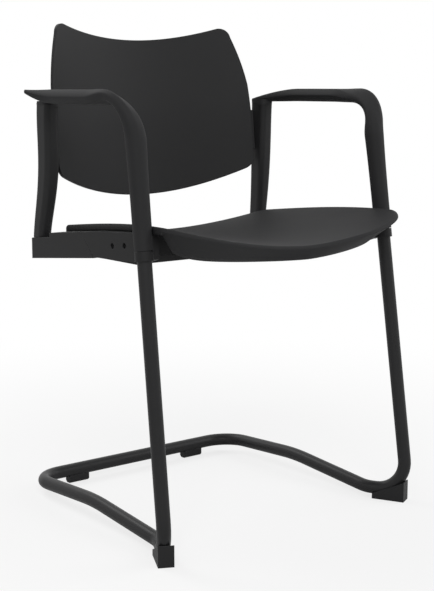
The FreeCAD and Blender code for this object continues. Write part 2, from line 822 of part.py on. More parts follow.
# Cross members: two flat steel tubes between the rails, under the seat

def cross_member(label, y):
    """A rectangular tube, drilled for the seat's screws and for the bolts at its ends."""
    end = rail_inner_x - size("glide_clearance")
    over = end + size("tool_overlap")
    shape = cross_bar(y, 0.0, -end, end).cut(cross_bar(y, size("cross_wall"), -over, over))
    for x, place_y in seat_screw_places():
        if place_y == y:
            start = vec(x, y, cross_bottom_z - size("tool_overlap"))
            shape = shape.cut(Part.makeCylinder(screw_hole, size("tool_length"), start))
    for side_name, side in SIDES:
        shape = shape.cut(mirrored(cross_bolt_bar(y, bolt_hole), side))
    coded(label, shape)


cross_member("cross_member_front", cross_front_y)
cross_member("cross_member_rear", cross_rear_y)


def cross_bolts():
    """Four short bolts from below, through the cross members into the rails' spigots."""
    bolts = []
    length = size("cross_height") - size("cross_wall") - 2 * size("screw_tip_room")
    for y in (cross_front_y, cross_rear_y):
        bolt = screw(vec(cross_bolt_x, y, cross_bottom_z), Z_AXIS, size("bolt_diameter"), length,
                     size("bolt_head_diameter"), size("bolt_head_height"))
        bolts += [bolt, mirrored(bolt, -1)]
    return Part.makeCompound(bolts)


coded("cross_member_bolts", cross_bolts(), 4)


def seat_screws():
    """Four screws from below, through the cross members into the seat's bosses."""
    grip = size("cross_height") + size("seat_pad_height") + size("seat_screw_grip") - 2 * size("screw_tip_room")
    return Part.makeCompound([
        screw(vec(x, y, cross_bottom_z), Z_AXIS, size("seat_screw_diameter"), grip,
              size("screw_head_diameter"), size("screw_head_height"))
        for x, y in seat_screw_places()])


coded("seat_screws", seat_screws(), 4)


def seat_pads():
    """Four rubber washers between the cross members and the seat's bosses."""
    pads = []
    for x, y in seat_screw_places():
        pad = Part.makeCylinder(size("seat_boss_diameter") / 2 + size("seat_pad_rim"), size("seat_pad_height"),
                                vec(x, y, cross_top_z))
        pads.append(pad.cut(Part.makeCylinder(screw_hole, size("tool_length"), vec(x, y, cross_top_z))))
    return Part.makeCompound(pads)


coded("seat_pads", seat_pads(), 4)


# Back: a thin moulded shell, curved round the sitter, between the posts

back_bottom_z = size("seat_height") + size("back_rise")
post_mid = vec(post_foot.x - size("post_mid_inset"), post_foot_y - size("post_mid_advance"),
               size("seat_height") + size("post_mid_rise"))
back_side_x = post_mid.x - size("post_width") / 2 - size("back_post_gap")
back_turn = FreeCAD.Rotation(X_AXIS, -size("back_lean"))
back_up = back_turn.multVec(Z_AXIS)
back_rearward = back_turn.multVec(Y_AXIS)
back_middle = vec(0, post_foot_y + size("back_setback"), back_bottom_z + size("back_top_height"))
axis_reach = size("back_radius") + size("back_top_height")
back_axis_base = back_middle - back_rearward * size("back_radius") - back_up * axis_reach


def back_cylinder(name, wall):
    """A cylinder about the back's leaning axis, as a primitive whose size follows the sheet."""
    cylinder = doc.addObject("Part::Cylinder", name)
    cylinder.setExpression("Radius", "dimensions.back_radius + " + wall)
    cylinder.setExpression("Height", "2 * (dimensions.back_radius + dimensions.back_top_height)")
    cylinder.Placement = FreeCAD.Placement(back_axis_base, back_turn)
    return cylinder


def arc_edge(first, middle, last):
    """An arc through three points of the back's outline."""
    return Part.Arc(vec(first[0], first[1], 0), vec(middle[0], middle[1], 0), vec(last[0], last[1], 0))


def bulged(first, last, out, up):
    """The middle of two points of the outline, moved out and up."""
    return ((first[0] + last[0]) / 2 + out, (first[1] + last[1]) / 2 + up)


def back_outline():
    """The back's outline seen from the front, in X and Z, as arcs joined end to end."""
    horn = (back_side_x - size("back_horn_inset"), back_bottom_z + size("back_horn_height"))
    shoulder = (back_side_x - size("back_shoulder_inset"), back_bottom_z + size("back_shoulder_height"))
    side = (back_side_x - size("back_side_inset"), back_bottom_z + size("back_side_height"))
    low_side = (back_side_x, back_bottom_z + size("back_low_side_height"))
    corner = (back_side_x - size("back_corner_inset"), back_bottom_z + size("back_corner_height"))
    round_off = size("back_corner_bulge")
    right_side = [
        (horn, bulged(horn, shoulder, round_off, round_off), shoulder),
        (shoulder, bulged(shoulder, side, size("back_side_bulge"), 0.0), side),
        (side, bulged(side, low_side, size("back_flank_bulge"), 0.0), low_side),
        (low_side, bulged(low_side, corner, round_off, -round_off), corner),
    ]
    top = ((-horn[0], horn[1]), (0.0, back_bottom_z + size("back_top_height")), horn)
    bottom = (corner, (0.0, back_bottom_z), (-corner[0], corner[1]))
    left_side = [tuple((-x, z) for x, z in reversed(arc)) for arc in reversed(right_side)]
    return [arc_edge(*arc) for arc in [top] + right_side + [bottom] + left_side]


def back_form():
    """The outline padded through a wall between two cylinders: what is common to both, behind the axis."""
    blank = doc.addObject("PartDesign::Body", "back_blank")
    outline = sketch_on(blank, "XZ_Plane", "back_outline")
    for curve in back_outline():
        outline.addGeometry(curve, False)
    pad = blank.newObject("PartDesign::Pad", "back_blank_pad")
    pad.Profile = outline
    pad.setExpression("Length", "2 * dimensions.back_radius")
    pad.Midplane = True
    wall = doc.addObject("Part::Cut", "back_wall")
    wall.Base = back_cylinder("back_outer", "dimensions.back_thickness")
    wall.Tool = back_cylinder("back_inner", "0")
    room = doc.addObject("Part::Box", "back_room")
    room.setExpression("Length", "3 * dimensions.back_radius")
    room.setExpression("Width", "2 * dimensions.back_radius")
    room.setExpression("Height", "3 * dimensions.back_radius")
    room.Placement.Base = vec(-1.5 * size("back_radius"), back_middle.y - size("back_radius"),
                              back_bottom_z - size("back_radius"))
    rear_wall = doc.addObject("Part::Common", "back_wall_rear")
    rear_wall.Base = wall
    rear_wall.Tool = room
    form = doc.addObject("Part::Common", "back_form")
    form.Base = rear_wall
    form.Tool = blank
    doc.recompute()
    return form.Shape


def on_back(x, z):
    """The front face's point at an X and a height, and the shell's outward direction there."""
    outward = (back_rearward * math.sqrt(size("back_radius") ** 2 - x ** 2) + X_AXIS * x) * (1 / size("back_radius"))
    foot = back_axis_base + outward * size("back_radius")
    return foot + back_up * ((z - foot.z) / back_up.z), outward


def back_screw_places():
    """The four places where the shell is screwed to the posts' fins."""
    return [(x_side * (back_side_x - size("back_screw_inset")), back_bottom_z + size(height))
            for height in ("back_screw_low_height", "back_screw_high_height") for x_side in (-1, 1)]


back_hole = (size("back_screw_diameter") + size("joint_clearance")) / 2


def back_shape():
    """The shell with a blind hole behind each screw."""
    shape = back_form()
    for x, z in back_screw_places():
        point, outward = on_back(x, z)
        shape = shape.cut(Part.makeCylinder(back_hole, size("tool_length"), point + outward * size("back_skin"),
                                            outward))
    return largest(shape)


coded("back_shell", back_shape())


# Back posts: a moulded upright each side with a fin behind the shell and a tenon in the rail

post_top = vec(post_foot.x - size("post_top_inset"), post_foot_y - size("post_top_advance"),
               arm_top_z - size("post_top_drop"))
fin_start = size("back_radius") + size("back_thickness") + size("joint_clearance")


def post_stations():
    """Centre, shares of the width and depth, and rearward direction of the outline, foot to top."""
    foot = post_foot + Z_AXIS * size("joint_clearance")
    foot_share = size("post_foot_share")
    top_share = size("post_top_share")
    knee = (foot + post_mid) * 0.5 - Y_AXIS
    return [
        (foot, foot_share, foot_share, slope_across),
        (knee, (1 + foot_share) / 2, (1 + foot_share) / 2, Y_AXIS),
        (post_mid, 1.0, 1.0, Y_AXIS),
        ((post_mid + post_top) * 0.5, 1.0, (1 + top_share) / 2, Y_AXIS),
        (post_top, 1.0, top_share, Y_AXIS),
    ]


def back_ring(inner, outer, low_z, high_z, low_x, high_x):
    """A piece of a wall round the back's axis, between two radii, two heights and two X values."""
    ring = Part.makeCylinder(outer, 2 * axis_reach, back_axis_base, back_up)
    if inner > 0:
        ring = ring.cut(Part.makeCylinder(inner, 2 * axis_reach, back_axis_base, back_up))
    box = Part.makeBox(high_x - low_x, 2 * axis_reach, high_z - low_z, vec(low_x, back_axis_base.y, low_z))
    return ring.common(box)


def arm_pin_bar(radius, length):
    """A bar across the joint between the post's top and the arm's neck, half in each."""
    middle = post_top + X_AXIS * size("arm_pin_outset") + Z_AXIS * (size("joint_clearance") / 2)
    return Part.makeCylinder(radius, length, middle - Z_AXIS * (length / 2))


def post_shape():
    """The left post: lofted outlines less the shell's room, the fin as a strip round it, and the tenon."""
    wires = [rounded_wire(centre, X_AXIS, rearward, size("post_width") * wide, size("post_depth") * deep,
                          size("post_corner"))
             for centre, wide, deep, rearward in post_stations()]
    upright = Part.makeLoft(wires, True, False)
    fin_low_z = back_bottom_z + size("back_screw_low_height") - size("fin_margin")
    fin_high_z = back_bottom_z + size("back_screw_high_height") + size("fin_margin")
    fin = back_ring(fin_start, fin_start + size("fin_thickness"), fin_low_z, fin_high_z,
                    back_side_x - size("fin_inset"), post_mid.x)
    shell_room = back_ring(0.0, fin_start, back_bottom_z - size("fin_margin"), arm_top_z + size("tool_length"),
                           back_side_x - 2 * size("fin_inset"), back_side_x + size("back_post_gap"))
    shape = upright.fuse([fin, tenon(0.0)]).cut(shell_room)
    for x, z in back_screw_places():
        if x > 0:
            point, outward = on_back(x, z)
            shape = shape.cut(Part.makeCylinder(back_hole, size("tool_length"), point, outward))
    shape = shape.cut(tenon_bolt_bar(bolt_hole, rail_inner_x, post_foot.x + size("bolt_diameter")))
    shape = shape.cut(arm_pin_bar((size("arm_pin_diameter") + size("joint_clearance")) / 2,
                                  2 * size("arm_pin_bite") + size("screw_tip_room")))
    return largest(shape)


for side_name, side in SIDES:
    coded("back_post_" + side_name, mirrored(post_shape(), side))


def post_bolts():
    """A bolt each side, from the rail's inner face into the post's tenon."""
    seat = vec(rail_inner_x, post_foot_y, post_seat_z - size("tenon_length") / 2)
    length = post_foot.x - rail_inner_x + size("bolt_diameter") - size("screw_tip_room")
    bolt = screw(seat, X_AXIS, size("bolt_diameter"), length, size("bolt_head_diameter"), size("bolt_head_height"))
    return Part.makeCompound([bolt, mirrored(bolt, -1)])


coded("post_bolts", post_bolts(), 2)


def back_screws():
    """Four screws from behind, through the fins into the shell."""
    screws = []
    to_fin = size("back_thickness") + size("joint_clearance") + size("fin_thickness")
    for x, z in back_screw_places():
        point, outward = on_back(x, z)
        length = to_fin - size("back_skin") - size("screw_tip_room") / 2
        screws.append(screw(point + outward * to_fin, outward * -1, size("back_screw_diameter"), length,
                            size("screw_head_diameter"), size("screw_head_height")))
    return Part.makeCompound(screws)


coded("back_screws", back_screws(), 4)


# Arms: a moulded loop each side, a pad that turns down at the front into a sleeve over the leg
# and has a neck at the rear that sits on the post

arm_axis_z = arm_top_z - size("arm_pad_height") / 2
arm_pad_x = leg_high.x + size("arm_pad_offset")
arm_inner_y = post_foot_y - size("arm_inner_inset")
arm_outer_y = post_foot_y - size("arm_outer_inset")
arm_taper_y = arm_inner_y - size("arm_taper_length")
sleeve_low_width = size("tube_diameter") + 2 * size("sleeve_wall")
sleeve_width = sleeve_low_width + 2 * size("sleeve_flare")
sleeve_low_z = collar_top_z + size("tool_overlap")
sleeve_roundness = size("sleeve_roundness")
pad_roundness = size("pad_roundness")
leg_lean = math.atan2(leg_direction.y, leg_direction.z)


def level_station(y):
    """An outline of the pad's level part."""
    height = size("arm_pad_height")
    return rounded_wire(vec(arm_pad_x, y, arm_axis_z), X_AXIS, Z_AXIS, size("arm_pad_width"), height,
                        pad_roundness * height)


def rear_station(share):
    """An outline of the pad's rear part, from level at 0 to its slanted end at 1: the outer edge keeps
    its height and flares out, while the inner edge runs on, and down on the post."""
    end_height = size("arm_end_height")
    height = size("arm_pad_height") + (end_height - size("arm_pad_height")) * share ** 2
    half_width = size("arm_pad_width") / 2
    start_x = arm_pad_x - half_width
    end_x = post_top.x - size("post_width") / 2 + size("tool_overlap")
    end_z = post_top.z + size("joint_clearance") + end_height / 2
    inner = vec(start_x + (end_x - start_x) * share ** 2,
                arm_taper_y + (arm_inner_y - arm_taper_y) * share,
                arm_axis_z + (end_z - arm_axis_z) * share ** 1.5)
    outer = vec(arm_pad_x + half_width + size("arm_outer_flare") * share ** 2,
                arm_taper_y + (arm_outer_y - arm_taper_y) * share,
                arm_top_z - height / 2)
    along = (outer - inner).normalize()
    across = (Z_AXIS - along * along.z).normalize()
    return rounded_wire((inner + outer) * 0.5, along, across, (outer - inner).Length, height,
                        pad_roundness * height)


bend_turn = math.pi / 2 - leg_lean
bend_reach = size("arm_bend_radius") * math.tan(bend_turn / 2)
bend_start_y = on_leg(arm_axis_z).y + bend_reach
bend_end_z = arm_axis_z - bend_reach * leg_direction.z
bend_length = size("arm_bend_radius") * bend_turn
sleeve_outward = vec(0, -math.cos(leg_lean), math.sin(leg_lean))
sleeve_high_z = bend_end_z - size("arm_waist_tail") * leg_direction.z


def on_arm_line(distance):
    """The centre line at a distance past the bend's start, and the direction out of the bend there."""
    if distance < 0:
        return vec(arm_pad_x, bend_start_y - distance, arm_axis_z), Z_AXIS
    if distance > bend_length:
        return on_leg(bend_end_z - (distance - bend_length) * leg_direction.z), sleeve_outward
    angle = distance / size("arm_bend_radius")
    outward = vec(0, -math.sin(angle), math.cos(angle))
    centre = vec(arm_pad_x, bend_start_y, arm_axis_z - size("arm_bend_radius"))
    return centre + outward * size("arm_bend_radius"), outward


def through_waist(first, waist, last, share):
    """A value that eases from the first to the last and passes the waist's value half way."""
    eased = share ** 2 * (3 - 2 * share)
    return first + (last - first) * eased + (waist - (first + last) / 2) * (4 * share * (1 - share)) ** 2


def bend_station(share):
    """An outline round the front bend: the flat pad narrows to a waist that is tilted and set outwards,
    and then grows into the round sleeve."""
    whole = size("arm_waist_lead") + bend_length + size("arm_waist_tail")
    place, outward = on_arm_line(whole * share - size("arm_waist_lead"))
    leg_x = on_leg(place.z).x
    middle_x = (arm_pad_x + leg_x) / 2 + size("arm_waist_outset")
    place.x = through_waist(arm_pad_x, middle_x, leg_x, share)
    width = through_waist(size("arm_pad_width"), size("arm_waist_width"), sleeve_width, share)
    height = through_waist(size("arm_pad_height"), size("arm_waist_height"), sleeve_width, share)
    roundness = pad_roundness + (sleeve_roundness - pad_roundness) * share
    tilt = math.radians(through_waist(0.0, size("arm_waist_tilt"), 0.0, share))
    along = X_AXIS * math.cos(tilt) + outward * math.sin(tilt)
    across = outward * math.cos(tilt) - X_AXIS * math.sin(tilt)
    return rounded_wire(place, along, across, width, height, roundness * min(width, height))


def arm_shape():
    """The left arm: one loft from the slanted rear end to the sleeve's lower end, and the neck."""
    run = size("arm_taper_length") / 5
    stations = [rear_station(share) for share in between(1.0, 0.2, 4)]
    level_end_y = bend_start_y + size("arm_waist_lead") + run / 2
    stations += [level_station(y) for y in between(arm_taper_y, level_end_y, 3)]
    stations += [bend_station(share) for share in between(0.0, 1.0, 8)]
    for z in between(sleeve_high_z - run / 2, sleeve_low_z, 6):
        flare = ((z - sleeve_low_z) / (sleeve_high_z - sleeve_low_z)) ** 3
        width = sleeve_low_width + (sleeve_width - sleeve_low_width) * flare
        stations.append(rounded_wire(on_leg(z), X_AXIS, sleeve_outward, width, width,
                                     sleeve_roundness * width))
    loop = Part.makeLoft(stations, True, False)
    neck_base = post_top + Z_AXIS * size("joint_clearance")
    depth = size("post_depth") * size("post_top_share")
    neck = Part.makeLoft([
        rounded_wire(neck_base + Z_AXIS * rise, X_AXIS, Y_AXIS, size("post_width") + spread, depth + spread,
                     size("post_corner"))
        for rise, spread in ((0.0, 0.0), (size("neck_height"), size("neck_spread")))], True, True)
    shape = loop.fuse(neck)
    shape = shape.cut(leg_bar(tube_radius + size("sleeve_clearance"), collar_bottom_z,
                              leg_top_z + size("plug_head_height") + size("tool_overlap")))
    shape = shape.cut(arm_pin_bar((size("arm_pin_diameter") + size("joint_clearance")) / 2,
                                  2 * size("arm_pin_bite") + size("screw_tip_room")))
    return largest(shape)


for side_name, side in SIDES:
    coded("arm_" + side_name, mirrored(arm_shape(), side))


def arm_pins():
    """A steel pin each side, pressed half into the post's top and half into the arm's neck."""
    pin = arm_pin_bar(size("arm_pin_diameter") / 2, 2 * size("arm_pin_bite"))
    return Part.makeCompound([pin, mirrored(pin, -1)])


coded("arm_pins", arm_pins(), 2)


# Checks and files

doc.recompute()
for item in doc.Objects:
    if "Invalid" in item.State or "Error" in item.State:
        raise RuntimeError("failed object: " + item.Label)
for piece, solids in pieces:
    if piece.Shape.isNull() or not piece.Shape.isValid():
        raise RuntimeError("bad shape: " + piece.Label)
    if len(piece.Shape.Solids) != solids:
        raise RuntimeError("%s has %d solids" % (piece.Label, len(piece.Shape.Solids)))

os.makedirs("parts", exist_ok=True)
total = FreeCAD.BoundBox()
for piece, solids in pieces:
    piece.Shape.exportStep("parts/" + piece.Label + ".step")
    total.add(piece.Shape.BoundBox)
    print("%-24s solids %d volume %9.0f" % (piece.Label, solids, piece.Shape.Volume))
print("nodes", len(pieces), "box", [round(v, 1) for v in (total.XMin, total.XMax, total.YMin, total.YMax,
                                                           total.ZMin, total.ZMax)])
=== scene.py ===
import math

import bpy
import numpy as np
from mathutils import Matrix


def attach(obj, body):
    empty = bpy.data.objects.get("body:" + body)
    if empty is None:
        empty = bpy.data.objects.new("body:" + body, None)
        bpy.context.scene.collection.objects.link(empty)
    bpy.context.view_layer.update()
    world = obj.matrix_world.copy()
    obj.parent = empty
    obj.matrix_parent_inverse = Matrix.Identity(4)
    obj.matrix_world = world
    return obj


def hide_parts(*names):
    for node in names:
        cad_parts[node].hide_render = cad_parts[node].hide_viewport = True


# A conference chair with fixed arms on a cantilever sled frame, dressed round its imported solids.
# Metres. +Z is up, the sitter faces -Y and X = 0 is the plane of symmetry; "right" has negative X.

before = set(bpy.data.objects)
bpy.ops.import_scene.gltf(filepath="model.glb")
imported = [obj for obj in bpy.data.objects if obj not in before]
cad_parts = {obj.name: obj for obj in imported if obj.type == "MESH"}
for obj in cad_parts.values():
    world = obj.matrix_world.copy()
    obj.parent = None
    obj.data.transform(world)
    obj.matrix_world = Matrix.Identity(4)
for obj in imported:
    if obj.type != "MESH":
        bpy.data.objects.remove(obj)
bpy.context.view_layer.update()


# Frame tube
# One round steel tube, cold bent from the right arm down to the floor, round the back and up to
# the left arm, then powder coated in a satin near-black.

tube_radius = 0.011
tube_wall = 0.002
leg_low = np.array([0.253, -0.2064, 0.060])
leg_high = np.array([0.2454, -0.1534, 0.440])
leg_direction = (leg_high - leg_low) / np.linalg.norm(leg_high - leg_low)
leg_top_z = 0.598
foot_axis_z = 0.017
half_frame = [np.array([0.2194, -0.1475, 0.0165]),
              np.array([0.2177, 0.0365, 0.0329]),
              np.array([0.2167, 0.2323, 0.0222])]
half_radii = [0.048, 0.048, 0.420, 0.052]
tube_sides = 40


def on_leg(height):
    """Points of the leg's straight axis at the given heights: from its low point, the rise to the height
    over the direction's own rise is the way to go along it."""
    along = (np.asarray(height) - leg_low[2]) / leg_direction[2]
    return leg_low + np.multiply.outer(along, leg_direction)


def bent_axis(corners, radii, arc_steps=14):
    """The centre line of a bent tube: straight runs joined by arcs that touch both runs. An arc's centre
    lies on the corner's bisector, at the bend radius over the cosine of half the turn."""
    line = [corners[0]]
    for before, corner, after, radius in zip(corners, corners[1:], corners[2:], radii):
        back = (before - corner) / np.linalg.norm(before - corner)
        ahead = (after - corner) / np.linalg.norm(after - corner)
        half_turn = (math.pi - math.acos(float(back @ ahead))) / 2
        inward = (back + ahead) / np.linalg.norm(back + ahead)
        centre = corner + inward * radius / math.cos(half_turn)
        sideways = (ahead - back) / np.linalg.norm(ahead - back)
        angle = np.linspace(-half_turn, half_turn, arc_steps)[:, None]
        line.extend(centre + radius * (np.sin(angle) * sideways - np.cos(angle) * inward))
    line.append(corners[-1])
    return np.array(line)


def cross_directions(line):
    """Two directions square to a line at each of its points. The first is the one at the point before, less
    its part along the line, so that a profile carried along doesn't twist; the second is square to both."""
    ahead = np.gradient(line, axis=0)
    ahead /= np.linalg.norm(ahead, axis=1)[:, None]
    side = np.cross(ahead[0], [0.0, 1.0, 0.0])
    sides = []
    for direction in ahead:
        side = side - direction * (side @ direction)
        side = side / np.linalg.norm(side)
        sides.append(side)
    return np.array(sides), np.cross(ahead, sides)


def mesh_piece(name, points, faces, smooth_below=40.0):
    """A mesh object of the given points and faces, smooth except where faces meet at a sharper angle."""
    mesh = bpy.data.meshes.new(name)
    mesh.from_pydata(points.reshape(-1, 3).tolist(), [], faces)
    mesh.polygons.foreach_set("use_smooth", np.ones(len(mesh.polygons), bool))
    mesh.set_sharp_from_angle(angle=math.radians(smooth_below))
    mesh.update()
    piece = bpy.data.objects.new(name, mesh)
    bpy.context.scene.collection.objects.link(piece)
    return piece


def quads_between(index):
    """Four-sided faces between neighbouring places of a grid of point numbers."""
    corners = [index[:-1, :-1], index[1:, :-1], index[1:, 1:], index[:-1, 1:]]
    return np.stack(corners, axis=-1).reshape(-1, 4).tolist()


def closed(index):
    """A grid of point numbers whose last column joins its first."""
    return np.hstack([index, index[:, :1]])


half_corners = [on_leg(leg_top_z), on_leg(foot_axis_z)] + half_frame
frame_corners = half_corners + [corner * [-1.0, 1.0, 1.0] for corner in half_corners[::-1]]
frame_axis = bent_axis(frame_corners, half_radii + half_radii[::-1])
frame_side, frame_across = cross_directions(frame_axis)
round_angle = np.linspace(0, 2 * math.pi, tube_sides, endpoint=False)[:, None]
circle = np.cos(round_angle) * frame_side[:, None] + np.sin(round_angle) * frame_across[:, None]
outer_wall = frame_axis[:, None] + tube_radius * circle
inner_wall = frame_axis[:, None] + (tube_radius - tube_wall) * circle
tube_points = np.vstack([outer_wall, inner_wall[::-1]])
tube_index = np.arange(tube_points.shape[0] * tube_points.shape[1]).reshape(tube_points.shape[:2])
tube_rows = np.vstack([tube_index, tube_index[:1]])
tube = mesh_piece("frame_tube", tube_points, quads_between(closed(tube_rows)))


class Wire:
    """A socket in a material's node tree. Sums and products of wires add the Math nodes that they need;
    every other node comes from the node method."""

    def __init__(self, tree, socket=None):
        self.tree = tree
        self.socket = socket

    def node(self, kind, settings, inputs, output=0):
        """Adds a node: its settings first, then its sockets, each from a wire or a plain value."""
        made = self.tree.nodes.new(kind)
        for name, value in settings.items():
            setattr(made, name, value)
        for name, value in inputs.items():
            if isinstance(value, Wire):
                self.tree.links.new(value.socket, made.inputs[name])
            else:
                made.inputs[name].default_value = value
        return Wire(self.tree, made.outputs[output])

    def math(self, operation, first, second):
        """Adds a Math node on two wires or numbers."""
        return self.node("ShaderNodeMath", {"operation": operation}, {0: first, 1: second})

    def __add__(self, other):
        return self.math("ADD", self, other)

    def __radd__(self, other):
        return self.math("ADD", other, self)

    def __sub__(self, other):
        return self.math("SUBTRACT", self, other)

    def __rsub__(self, other):
        return self.math("SUBTRACT", other, self)

    def __mul__(self, other):
        return self.math("MULTIPLY", self, other)

    def __rmul__(self, other):
        return self.math("MULTIPLY", other, self)

    def feeds(self, shader, name):
        """Links this wire to one socket of a shader."""
        self.tree.links.new(self.socket, shader.inputs[name])


def grey(level):
    """A grey in linear light, with a little more blue than red and green."""
    blue_gain = 1.04
    return (level, level, level * blue_gain, 1.0)


# a Mix node for colours: the numbers of its two colour sockets and of its colour output
COLOUR_A = 6
COLOUR_B = 7
COLOUR_OUT = 2


def near_black(name, level, roughness, grain, grain_depth, mottle, edge_radius, metallic=0.0,
               specular=0.2):
    """A near-black finish: the colour goes from darker to lighter with a mix of large patches and fine
    grain, the same two dull the gloss, the grain stands up by its depth, and edges are rounded by a radius
    and painted lighter, a painted highlight that stands partly for rub wear, by a gain times one less the
    cosine between the rounded and the flat direction."""
    darker = grey(level * 0.8)
    lighter = grey(level * 1.2)
    # the lighter colour at the edges: a painted highlight along them, partly rub wear
    highlight_and_wear_colour = grey(level * 2.2)
    highlight_and_wear_gain = 3.0
    patch_share = 0.8
    patch_roughness = 0.10
    grain_roughness = 0.06
    mean_added = (patch_roughness + grain_roughness) / 2
    grain_strength = 0.6
    material = bpy.data.materials.new(name)
    material.use_nodes = True
    tree = material.node_tree
    shader = tree.nodes["Principled BSDF"]
    start = Wire(tree)
    place = start.node("ShaderNodeTexCoord", {}, {}, "Object")
    patches = start.node("ShaderNodeTexNoise", {},
                         {"Vector": place, "Scale": mottle, "Detail": 4.0, "Roughness": 0.55})
    grains = start.node("ShaderNodeTexNoise", {},
                        {"Vector": place, "Scale": grain, "Detail": 2.0, "Roughness": 0.5})
    rounded = start.node("ShaderNodeBevel", {"samples": 6}, {"Radius": edge_radius})
    flat = start.node("ShaderNodeNewGeometry", {}, {}, "Normal")
    agreement = start.node("ShaderNodeVectorMath", {"operation": "DOT_PRODUCT"},
                           {0: rounded, 1: flat}, "Value")
    # edges painted lighter by how far the rounded direction turns from the flat one: a painted highlight,
    # partly rub wear
    edge_highlight_and_wear = (1.0 - agreement) * highlight_and_wear_gain
    handled = start.node("ShaderNodeMix", {"data_type": "RGBA"},
                         {0: patches * patch_share + grains * (1 - patch_share),
                          COLOUR_A: darker, COLOUR_B: lighter}, COLOUR_OUT)
    # the painted edge highlight mixed over the patches and grain
    highlit_and_worn = start.node("ShaderNodeMix", {"data_type": "RGBA", "clamp_factor": True},
                      {0: edge_highlight_and_wear, COLOUR_A: handled, COLOUR_B: highlight_and_wear_colour}, COLOUR_OUT)
    bumped = start.node("ShaderNodeBump", {},
                        {"Strength": grain_strength, "Distance": grain_depth, "Height": grains,
                         "Normal": rounded})
    highlit_and_worn.feeds(shader, "Base Color")
    dulled = patches * patch_roughness + grains * grain_roughness + (roughness - mean_added)
    dulled.feeds(shader, "Roughness")
    bumped.feeds(shader, "Normal")
    shader.inputs["Metallic"].default_value = metallic
    shader.inputs["Specular IOR Level"].default_value = specular
    return material


def finish_nodes(material, *names):
    """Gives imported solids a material."""
    for name in names:
        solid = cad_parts[name]
        solid.data.materials.clear()
        solid.data.materials.append(material)


powder_coat = near_black("powder_coat", level=0.016, roughness=0.40, grain=900.0,
                         grain_depth=0.00006, mottle=14.0, edge_radius=0.0004)
tube.data.materials.append(powder_coat)
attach(tube, "root")
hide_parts("sled_frame")


# Tube plugs
# Moulded stoppers of tough plastic, pushed into the tube's two open ends. A thin head covers the
# tube's cut edge, and the arm hides the whole plug.

plug_plastic = near_black("plug_plastic", level=0.014, roughness=0.55, grain=1500.0,
                          grain_depth=0.00004, mottle=20.0, edge_radius=0.0006)
finish_nodes(plug_plastic, "tube_plug_right", "tube_plug_left")


# Foot glides
# Hard moulded feet: a wedge under each front bend and a saddle under the back of the frame at each
# side, all snapped on the tube.

glide_plastic = near_black("glide_plastic", level=0.014, roughness=0.50, grain=1300.0,
                           grain_depth=0.00005, mottle=25.0, edge_radius=0.0014)
finish_nodes(glide_plastic, "front_foot_glide_right", "front_foot_glide_left",
             "rear_foot_glide_right", "rear_foot_glide_left")


# Side rails
# A cast aluminium rail each side with a collar round the leg, a socket for the back post, a web
# under the seat's front corner and two spigots for the cross members, coated like the tube.

rail_coat = near_black("rail_coat", level=0.011, roughness=0.52, grain=1000.0,
                       grain_depth=0.00006, mottle=18.0, edge_radius=0.0014)
finish_nodes(rail_coat, "side_rail_right", "side_rail_left")


# Cross members
# Two flat steel tubes under the seat, pushed over the rails' spigots and bolted from below,
# coated like the frame.

finish_nodes(powder_coat, "cross_member_front", "cross_member_rear")


# Screws, bolts and pins
# Socket head steel screws with a black oxide finish in the cross members, covers, posts, seat and
# back, and a steel pin with the same finish in each arm's joint with its post.

black_oxide = near_black("black_oxide", level=0.030, roughness=0.38, grain=2500.0,
                         grain_depth=0.00002, mottle=60.0, edge_radius=0.0003, metallic=0.8)
finish_nodes(black_oxide, "cross_member_bolts", "cover_screws_right", "cover_screws_left", "seat_screws",
             "post_bolts", "back_screws", "arm_pins")


# Side covers
# A moulded fairing screwed to the outer face of each rail's front part, with two countersunk
# recesses for its screws.

cover_plastic = near_black("cover_plastic", level=0.012, roughness=0.56, grain=1600.0,
                           grain_depth=0.00005, mottle=16.0, edge_radius=0.0012)
finish_nodes(cover_plastic, "side_cover_right", "side_cover_left")


# Seat washers
# Thin rubber washers, clamped by the seat's screws between its bosses and the cross members, so
# that the shell doesn't creak on the steel.

washer_rubber = near_black("washer_rubber", level=0.012, roughness=0.75, grain=700.0,
                           grain_depth=0.00008, mottle=40.0, edge_radius=0.0004)
finish_nodes(washer_rubber, "seat_pads")


# Seat shell
# One moulded polypropylene shell, dished like a trough, with a short lip down its sides and rear and
# a skirt that leans in under its front edge. Fine spark-eroded grain on every face.

seat_rear_y = 0.127
seat_front_y = -0.2435
seat_rear_half_width = 0.213
seat_flare = 0.07
seat_corner_depth = 0.062
seat_roll = 0.005
seat_wall = 0.0045
seat_lip = 0.0105
seat_middle_low_z = 0.4545
seat_middle_rise = 0.0065
seat_middle_bend = 0.77
seat_rim_low_z = 0.4745
seat_rim_rise = 0.021
dish_power = 1.7
front_corner_start = 0.45
rear_corner_start = 0.92
rear_corner_depth = 0.010
skirt_height = 0.0225
skirt_lean = 0.0105
skirt_end_inset = 0.027
skirt_end_drop = 0.039
skirt_end_setback = 0.0115
skirt_sweep_power = 1.35
skirt_early_lift = 0.42
skirt_late_power = 10
sleeve_pass_z = 0.486
sleeve_room = 0.015
boss_radius = 0.008
boss_low_z = 0.4505
boss_x = 0.110
boss_y = (-0.105, 0.088)
boss_sides = 28
across_steps = 121
along_steps = 61
rim_rows = 4
skirt_rows = 6


def seat_top(share_across, y):
    """Height of the seat's face: from a middle line to a rim, which both climb towards the front with the
    share along and its cube, the height goes with the share across to the dish's power."""
    along = (seat_rear_y - y) / (seat_rear_y - seat_front_y)
    climb = (1 - seat_middle_bend) * along + seat_middle_bend * along ** 3
    middle = seat_middle_low_z + seat_middle_rise * climb
    rim = seat_rim_low_z + seat_rim_rise * (2 * along - along ** 3)
    return middle + (rim - middle) * np.abs(share_across) ** dish_power


def seat_half_width(y):
    """Half the seat's width: what it is at the rear, and the flare times the way from there."""
    return seat_rear_half_width + seat_flare * (seat_rear_y - y)


